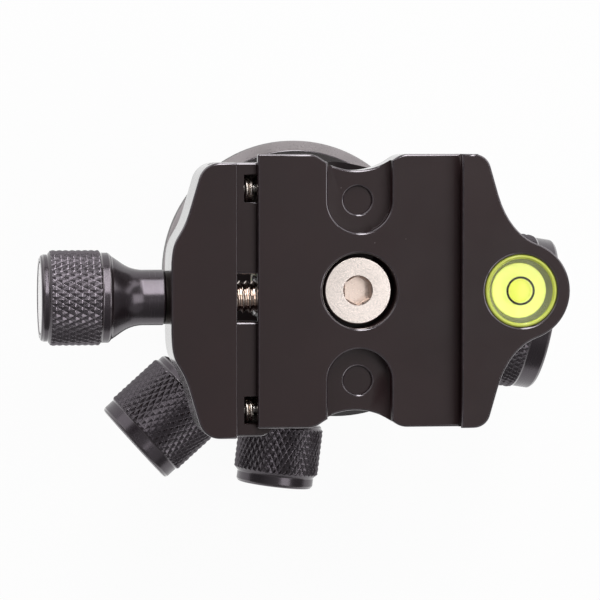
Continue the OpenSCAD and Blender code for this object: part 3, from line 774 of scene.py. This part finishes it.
class HEAD_OT_base(bpy.types.Operator):
    """Base disc, its threaded bush, washers and retainer"""
    bl_idname = "ball_head.base"
    bl_label = "Base"

    def execute(self, context):
        edge = settings("edges").small_edge
        base = machined("base_plate", edge, finish_of=self.sloping)
        finish(base, "base_plate", "housing", "edge", "base_rim")
        t = settings("threads")
        thread = Thread(radius=4, low=-0.2, high=11.2, pitch=t.base_pitch / MM,
                        depth=-t.base_depth / MM)
        bush = turned("base_bush_threaded", [(4, 11), (4, 0), (6.45, 0), (6.45, 11)],
                      columns=96, edge=0.2, cut=thread, ring=True)
        finish(bush, "base_bush", "steel")
        coat("plastic", "pan_washer", "thrust_washer")
        finish(machined("pan_retainer", edge), "pan_retainer", "steel", "polished")
        finish(machined("retainer_screws", edge), "retainer_screws", "dark_steel", "steel")
        return {"FINISHED"}

    @staticmethod
    def sloping(centre, normal):
        """Material number: 2 on the base's sloping rim, which is cut bright, else 0."""
        return 2 if 0.3 < normal.z < 0.9 else 0


class HEAD_OT_housing(bpy.types.Operator):
    """Housing with its bushes, floor disc, liner and the seat's spring"""
    bl_idname = "ball_head.housing"
    bl_label = "Housing"

    def execute(self, context):
        coat("housing", "housing", "main_bush", "friction_bush", "pan_bush")
        coat("steel", "floor_disc")
        coat("plastic", "upper_liner")
        spring = wire("seat_spring_wound", wire_r=0.6, coil_r=8.2, span=6.4, turns=3,
                      closed=0.75, place=Matrix.Translation((0, 0, SEAT_SPRING_Z * MM)))
        finish(spring, "seat_spring", "wire")
        return {"FINISHED"}


class HEAD_OT_scale(bpy.types.Operator):
    """Degree scale round the housing's foot and the index line on the base"""
    bl_idname = "ball_head.scale"
    bl_label = "Degree scale"

    def execute(self, context):
        s = settings("scale")
        parts = []
        for angle in range(0, 360, s.step):
            if self.near_boss(angle):
                continue
            # A line is longest at a number, and shortest between two tens.
            numbered = angle % s.label_step == 0
            tall = 1.9 if numbered else 1.4 if angle % 10 == 0 else 0.9
            parts.append(self.bent(self.bar(0.16, tall), angle, SCALE_Z))
            if numbered:
                parts.append(self.bent(self.label(str(angle), s.label_size / MM), angle,
                                       NUMBER_Z))
        attach(self.joined("degree_scale", parts), "housing", SLOT_OF["housing"],
               "white_print")
        index = self.joined("index_line", [self.on_cone(self.bar(0.3, 2.2))])
        attach(index, "base", SLOT_OF["base_plate"], "white_print")
        return {"FINISHED"}

    @staticmethod
    def near_boss(angle):
        """Whether the pan lock's boss covers that angle."""
        boss = SIDE_KNOBS["pan"]["place"][0]
        return abs((angle - boss + 180) % 360 - 180) < BOSS_HALF

    @staticmethod
    def bar(width, height):
        """Flat box of a line in mm: x across, y up, z proud of the surface."""
        co = np.array([(x, y, z) for z in (-0.02, 0.025) for y in (0, height)
                       for x in (-width / 2, width / 2)], float)
        return co, [(0, 2, 3, 1), (4, 5, 7, 6), (0, 1, 5, 4), (2, 6, 7, 3), (0, 4, 6, 2),
                    (1, 3, 7, 5)]

    @staticmethod
    def label(text, size):
        """Closed mesh of a number, centred on x, in mm."""
        curve = bpy.data.curves.new("label", "FONT")
        curve.body, curve.size, curve.extrude = text, size, 0.0225
        curve.align_x, curve.resolution_u = "CENTER", 2
        holder = linked("label", curve)
        bpy.context.view_layer.update()
        mesh = bpy.data.meshes.new_from_object(
            holder.evaluated_get(bpy.context.evaluated_depsgraph_get()))
        co = np.array([v.co[:] for v in mesh.vertices])
        faces = [tuple(p.vertices) for p in mesh.polygons]
        bpy.data.objects.remove(holder)
        bpy.data.curves.remove(curve)
        bpy.data.meshes.remove(mesh)
        return co + (0, 0, 0.0025), faces

    @staticmethod
    def bent(piece, angle, height):
        """Wraps x, y, z round the housing: the angle grows by x / radius, y is the height and
        z stands out of the cylinder."""
        (x, y, z), faces = piece[0].T, piece[1]
        a = math.radians(angle) + x / HOUSING_R
        r = HOUSING_R + z
        return np.stack([r * np.cos(a), r * np.sin(a), height + y], 1), faces

    @staticmethod
    def on_cone(piece):
        """Lays x, y, z on the base's sloping rim, from the radius and height of INDEX_FOOT: y
        climbs the slope, z stands out of it, and the angle grows by x / radius."""
        (x, y, z), faces = piece[0].T, piece[1]
        slope = math.atan2(RIM_RISE, RIM_RUN)
        reach = INDEX_FOOT[0] - y * math.cos(slope) + z * math.sin(slope)
        height = INDEX_FOOT[1] + y * math.sin(slope) + z * math.cos(slope)
        a = math.radians(INDEX_AT) + x / RIM_R
        return np.stack([reach * np.cos(a), reach * np.sin(a), height], 1), faces

    @staticmethod
    def joined(name, parts):
        """One object from several closed meshes in mm, with doubles merged and faces outwards."""
        start, co, faces = 0, [], []
        for points, some in parts:
            co.append(points * MM)
            faces += [tuple(i + start for i in face) for face in some]
            start += len(points)
        mesh = bpy.data.meshes.new(name)
        mesh.from_pydata(np.concatenate(co).tolist(), [], faces)
        work = bmesh.new()
        work.from_mesh(mesh)
        bmesh.ops.remove_doubles(work, verts=work.verts, dist=2e-7)
        bmesh.ops.recalc_face_normals(work, faces=work.faces)
        work.to_mesh(mesh)
        work.free()
        return linked(name, mesh)


class HEAD_OT_ball(bpy.types.Operator):
    """Ball with its neck, and the seat under it"""
    bl_idname = "ball_head.ball"
    bl_label = "Ball"

    def execute(self, context):
        a = np.radians(np.linspace(-90, 62, 120))
        sphere = np.stack([BALL_R * np.cos(a), BALL_R * np.sin(a)], 1)
        b = np.radians(np.linspace(180, 90, 16))
        flare = np.stack([NECK_TOP_R + FLARE_R * np.cos(b), FLARE_Z + FLARE_R * np.sin(b)], 1)
        meet = math.sqrt(BALL_R ** 2 - NECK_R ** 2)
        sphere = sphere[sphere[:, 0] > NECK_R + 0.25]
        sphere[0] = (0, -BALL_R)
        blend = [(NECK_R + 0.25, meet - 0.05), (NECK_R + 0.05, meet + 0.12),
                 (NECK_R, meet + 0.4)]
        top = [(NECK_TOP_R, 28.95), (4.05, 28.95), (4.05, 10.6), (0, 10.6)]
        ball = turned("ball_ground", np.concatenate([sphere, blend, flare, top]),
                      columns=160, edge=0.05, place=Matrix.Translation((0, 0, BALL_Z * MM)))
        finish(ball, "ball", "ball")
        coat("plastic", "ball_seat")
        return {"FINISHED"}


class HEAD_OT_clamp(bpy.types.Operator):
    """Clamp body, moving jaw, their pins and springs, and the centre bolt"""
    bl_idname = "ball_head.clamp"
    bl_label = "Clamp"

    def execute(self, context):
        edge = settings("edges").clamp_edge
        for name, split, width_of in (("clamp_body", FIXED_JAW_X, self.width_on_body),
                                      ("clamp_jaw", None, self.width_on_jaw)):
            piece = machined(name, edge, full=True, split=split, width_of=width_of,
                             finish_of=self.outer_side)
            finish(piece, name, "clamp", "clamp_edge", "clamp_side")
        socket = Hexagon(SOCKET_FLATS, SOCKET_FLOOR, BOLT_TOP, mouth=0.4)
        bolt = turned("clamp_bolt_turned",
                      [(0, 74), (3.6, 74), (4, 74.5), (4, 92.8), (6.5, 92.8),
                       (6.5, BOLT_TOP - 0.2), (6.3, BOLT_TOP), (2.91, BOLT_TOP),
                       (2.887, 97.25), (2.887, SOCKET_FLOOR), (0, SOCKET_FLOOR)],
                      columns=192, edge=0.06, cut=socket, sharp=math.radians(28))
        # The socket's inside takes the darker nickel, painted shade.
        finish(bolt, "clamp_bolt", "nickel", "polished", "socket")
        coat("steel", "guide_pins")
        coat("dark_steel", "jaw_collar")
        t = settings("threads")
        x, y, z = JAW_SPRING
        springs = [wire("jaw_spring_" + side, wire_r=t.spring_wire / MM, coil_r=2.05,
                        span=15.05, turns=t.spring_turns, closed=t.closed_turns,
                        place=along_x(middle + JAW_Y, z, x))
                   for side, middle in (("upper", y), ("lower", -y))]
        for spring in springs:
            finish(spring, "jaw_springs", "wire")
            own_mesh(spring)
        return {"FINISHED"}

    @staticmethod
    def outer_side(centre, normal):
        """Material number: 2 on upright faces that look away from the middle, else 0."""
        return 2 if abs(normal.z) < 0.1 and normal.xy.dot(centre.xy) > 0 else 0

    @staticmethod
    def width_on_body(at):
        """Width share: 0 under the fixed jaw's overhang, up the walls of the scallops and round
        the underside, else full."""
        overhang = 19.05 < at.x < 23.5 and at.z < 103.5
        scallop = abs(at.x) < 8 and abs(at.y) > 24 and at.z < 99.5
        return 0.0 if overhang or scallop or at.z < 91.2 else 1.0

    @staticmethod
    def width_on_jaw(at):
        """Width share: 0 at the tongue's end, on all that lies under the ledge apart from the
        back wall, at the spring slots' inner edges and round the underside, less on the long
        edges over the dovetail, else full."""
        ledge = at.z < 98.1 and at.x > -36
        slot = -22.2 < at.x < -22 and at.z > 98.1
        if at.x > -18 or ledge or slot or at.z < 91.8:
            return 0.0
        return 0.4 if -24.2 < at.x < -24 and abs(at.y - JAW_Y) < 1 else 1.0


class HEAD_OT_level(bpy.types.Operator):
    """Round bubble level: cup, liquid, printed ring, bubble and clear lens"""
    bl_idname = "ball_head.level"
    bl_label = "Bubble level"

    def execute(self, context):
        place = Matrix.Translation((LEVEL_X * MM, 0, 0))
        a = np.linspace(0, np.pi, 13)[:, None]
        bead = np.concatenate([6.57 + 0.36 * np.cos(a), -0.36 + 0.36 * np.sin(a)], 1)
        a = np.linspace(0, np.pi / 2, 9)
        dome = np.stack([2.3 * np.cos(a), -2.69 + 0.3 * np.sin(a)], 1)
        # Name, node or None, finish, columns, rounding, whether a ring, and the outline with
        # heights from the clamp's top.
        pieces = [
            # The rim, pool, bubble and cup take finishes with a painted glow.
            ("level_rim", "level_vial", "lime", 128, 0.02, True,
             [(6.93, -5.5), *bead, (6.21, -1.1), (6.21, -5.5)]),
            # The wall takes a darker colour, painted shade.
            ("level_wall", "level_vial", "smoke", 128, 0.1, True,
             [(6.2, -5.5), (6.2, -1.1), (LEVEL_WALL, -2.6), (LEVEL_WALL, -5.5)]),
            ("level_lens", "level_vial", "acrylic", 128, 0.15, False,
             [(0, -1), (6.19, -1), (6.19, -0.45), (4, -0.27), (0, -0.2)]),
            ("level_pool", "level_fluid", "liquid", 128, 0.2, False,
             [(0, -5.5), (5.28, -5.5), (5.28, -2.65), (2.6, -2.65), (2.2, -2.73), (0, -2.8)]),
            ("level_bubble", None, "bubble", 96, 0.03, False, [(0, -2.75), (2.2, -2.75), *dome]),
            ("level_cup", "level_plug", "lime", 96, 0.15, False,
             [(0, -6.7), (6.93, -6.7), (6.93, -5.52), (0, -5.52)]),
            ("level_ring", None, "black_print", 96, 0.01, True,
             [(2.34, -1.08), (2.76, -1.08), (2.76, -1.03), (2.34, -1.03)]),
        ]
        for name, node_name, finish_name, columns, edge, ring, outline in pieces:
            piece = turned(name, [(r, CLAMP_TOP + h) for r, h in outline], columns, edge, place,
                           ring=ring)
            if node_name:
                finish(piece, node_name, finish_name)
            else:
                attach(piece, "clamp", "level_lime", finish_name)
        return {"FINISHED"}


class HEAD_OT_clamp_knob(bpy.types.Operator):
    """Clamp screw with its thread, the knurled knob and its polished end"""
    bl_idname = "ball_head.clamp_knob"
    bl_label = "Clamp knob"

    def execute(self, context):
        place = along_x(SCREW_Y, SCREW_Z, back=True)
        thread = Thread(SCREW_R, low=17, high=36.7, depth=0.62,
                        pitch=settings("threads").clamp_pitch / MM)
        screw = turned("clamp_screw_threaded",
                       [(0, 16.6), (2.7, 16.6), (SCREW_R, 17.1), (SCREW_R, 36.6),
                        (SCREW_R, 56.15), (0, 56.15)], 64, 0.1, place, cut=thread)
        finish(screw, "clamp_screw", "rolled", "rolled")
        x = [37.15 + s for s in (0, 4.2, 10.2, 12.3, 22.3, 23.8)]
        s = np.linspace(0, 1, 25)[:, None]
        p = np.array([(5.3, x[1] + 0.1), (5.5, x[1] + 3), (6.6, x[2] - 2.2), (8.0, x[2])])
        cone = ((1 - s) ** 3 * p[0] + 3 * s * (1 - s) ** 2 * p[1] + 3 * s ** 2 * (1 - s) * p[2]
                + s ** 3 * p[3])
        outline = np.concatenate([
            [(SCREW_R, x[0]), (5, x[0]), (5.3, x[0] + 0.3), (5.3, x[1])], cone,
            [(8.6, x[2] + 0.5), (8.6, x[3] - 0.1), (9.1, x[3] + 0.3), (9.1, x[4] - 0.6),
             (8.3, x[4]), (8.3, x[5] - 0.5), (7.8, x[5]), (7.1, x[5]), (7.1, x[5] - 1.2),
             (SCREW_R, x[5] - 1.2)]])
        knob = knurled("clamp_knob_turned", outline, Knurl(9.1, x[3], x[4]), place)
        # The knurled band takes the darker grip colour, painted shade of its grooves.
        finish(knob, "clamp_knob", "knob", "edge", "grip")
        cap = turned("clamp_knob_cap_turned", cap_outline(x[5], 7.07, 1.2), 96, 0.1, place)
        finish(cap, "clamp_knob_cap", "polished")
        return {"FINISHED"}


class HEAD_OT_side_knobs(bpy.types.Operator):
    """Main lock, ball friction and pan lock knobs with their studs and plungers"""
    bl_idname = "ball_head.side_knobs"
    bl_label = "Side knobs"

    def execute(self, context):
        for name in SIDE_KNOBS:
            side_knob(name)
            coat("steel", name + "_stud")
        coat("steel", "main_plunger", "friction_plunger")
        coat("brass", "pan_shoe")
        coat("dark_steel", "main_knob_screw")
        return {"FINISHED"}


# ---- stage ----

CAMERA_AT = (-0.1046, 0.0302, 0.7936)      # metres
CAMERA_LOOK = (0.1341, -0.0459, -1)        # direction, with +Y up in the view
CAMERA_LENS = 220.44                       # mm on a 36 mm sensor
FLOOR_HALF, FLOOR_Z = 3.0, -0.0002         # metres


def straight_view(tree):
    """1 for a ray that comes from the camera itself or through something clear, else 0, and
    the source of the kinds of ray."""
    path = node(tree, "ShaderNodeLightPath")
    seen = node(tree, "ShaderNodeMath", [(0, path.outputs["Is Camera Ray"]),
                                         (1, path.outputs["Is Transmission Ray"])],
                operation="MAXIMUM")
    return seen.outputs[0], path


class HEAD_OT_stage(bpy.types.Operator):
    """Pale floor, soft lamps and the camera"""
    bl_idname = "ball_head.stage"
    bl_label = "Stage"

    def execute(self, context):
        scene = context.scene
        scene.view_settings.view_transform = "Standard"
        self.floor()
        self.world(scene)
        # Name, place, height of the point it faces, width and height, and watts.
        for lamp in (("key", (0.10, 0.75, 0.75), 0.05, (0.2, 1.3), 6.5),
                     ("top", (0.5, -0.04, 1.1), 0.1, (0.64, 0.6), 2.95),
                     ("left", (-0.75, 0.85, 0.5), 0.06, (1.1, 0.9), 4),
                     ("right", (0.72, 0.62, 0.45), 0.06, (0.9, 0.5), 2.6),
                     ("fill", (0.5, -0.6, 0.7), 0.05, (0.6, 0.6), 0.3)):
            self.lamp(*lamp)
        camera = bpy.data.cameras.new("camera")
        camera.sensor_fit, camera.sensor_width, camera.lens = "HORIZONTAL", 36, CAMERA_LENS
        camera.clip_start, camera.clip_end = 0.05, 20
        holder = linked("camera", camera)
        back = -Vector(CAMERA_LOOK).normalized()
        right = Vector((0, 1, 0)).cross(back).normalized()
        turn = Matrix((right, back.cross(right), back)).transposed().to_4x4()
        holder.matrix_world = Matrix.Translation(CAMERA_AT) @ turn
        scene.camera = holder
        return {"FINISHED"}

    @staticmethod
    def floor():
        """Pale floor that shows its own white to the camera and keeps part of the shadow."""
        mesh = bpy.data.meshes.new("floor")
        mesh.from_pydata([(x * FLOOR_HALF, y * FLOOR_HALF, FLOOR_Z)
                          for x, y in ((-1, -1), (1, -1), (1, 1), (-1, 1))], [], [(0, 1, 2, 3)])
        floor = linked("floor", mesh)
        made = bpy.data.materials.new("pale floor")
        made.use_nodes = True
        tree = made.node_tree
        tree.nodes.clear()
        plain = node(tree, "ShaderNodeBsdfDiffuse", Color=(0.8, 0.8, 0.8, 1))
        white = node(tree, "ShaderNodeEmission", Color=(1, 1, 1, 1), Strength=1.0)
        straight, path = straight_view(tree)
        seen = node(tree, "ShaderNodeMath", [(0, straight), (1, path.outputs["Is Glossy Ray"])],
                    operation="MAXIMUM")
        part = node(tree, "ShaderNodeMath", [(0, seen.outputs[0])], operation="MULTIPLY",
                    in1=0.95)
        mix = node(tree, "ShaderNodeMixShader", [("Fac", part.outputs[0]),
                                                 (1, plain.outputs[0]), (2, white.outputs[0])])
        node(tree, "ShaderNodeOutputMaterial", [("Surface", mix.outputs[0])])
        mesh.materials.append(made)

    @staticmethod
    def world(scene):
        """Pale room under a bright ceiling: the strength is 0.2 + 0.2 z^6 for a direction
        whose height is z. The camera and clear pieces see it as white."""
        world = bpy.data.worlds.new("pale room")
        scene.world = world
        world.use_nodes = True
        tree = world.node_tree
        back = next(n for n in tree.nodes if n.type == "BACKGROUND")
        back.inputs["Color"].default_value = (1, 1, 1, 1)
        where = node(tree, "ShaderNodeTexCoord").outputs["Generated"]
        height = node(tree, "ShaderNodeSeparateXYZ", [("Vector", where)]).outputs["Z"]
        above = node(tree, "ShaderNodeMath", [(0, height)], operation="MAXIMUM", in1=0.0)
        ceiling = node(tree, "ShaderNodeMath", [(0, above.outputs[0])], operation="POWER",
                       in1=6.0)
        room = node(tree, "ShaderNodeMapRange", [("Value", ceiling.outputs[0])], in3=0.2,
                    in4=0.4)
        straight, path = straight_view(tree)
        level = node(tree, "ShaderNodeMath", [(0, room.outputs[0]), (1, straight)],
                     operation="MAXIMUM")
        tree.links.new(level.outputs[0], back.inputs["Strength"])

    @staticmethod
    def lamp(name, at, height, size, power):
        """A soft lamp of width and height in metres and of watts that faces a point on the
        axis."""
        light = bpy.data.lights.new(name, "AREA")
        light.shape, light.energy = "RECTANGLE", power
        light.size, light.size_y = size
        direction = Vector((0, 0, height)) - Vector(at)
        turn = direction.to_track_quat("-Z", "Y").to_matrix().to_4x4()
        linked(name, light).matrix_world = Matrix.Translation(at) @ turn


OPERATORS = (HEAD_OT_base, HEAD_OT_housing, HEAD_OT_scale, HEAD_OT_ball, HEAD_OT_clamp,
             HEAD_OT_level, HEAD_OT_clamp_knob, HEAD_OT_side_knobs, HEAD_OT_stage)


class HEAD_PT_panel(bpy.types.Panel):
    """Sidebar panel with the head's pieces and sizes"""
    bl_label = "Ball Head"
    bl_idname = "HEAD_PT_panel"
    bl_space_type = "VIEW_3D"
    bl_region_type = "UI"
    bl_category = "Ball Head"

    def draw(self, context):
        for operator in OPERATORS:
            self.layout.operator(operator.bl_idname)
        for name, group in GROUPS.items():
            box = self.layout.box()
            box.label(text=name.capitalize())
            for key in group.__annotations__:
                box.prop(settings(name), key)


def register():
    for one in (*GROUPS.values(), *OPERATORS, HEAD_PT_panel):
        bpy.utils.register_class(one)
    for name, group in GROUPS.items():
        setattr(bpy.types.Scene, "ball_head_" + name, PointerProperty(type=group))


def unregister():
    for name in GROUPS:
        delattr(bpy.types.Scene, "ball_head_" + name)
    for one in reversed((*GROUPS.values(), *OPERATORS, HEAD_PT_panel)):
        bpy.utils.unregister_class(one)


def main():
    register()
    for operator in OPERATORS:
        group, name = operator.bl_idname.split(".")
        getattr(getattr(bpy.ops, group), name)()


if __name__ == "__main__":
    main()
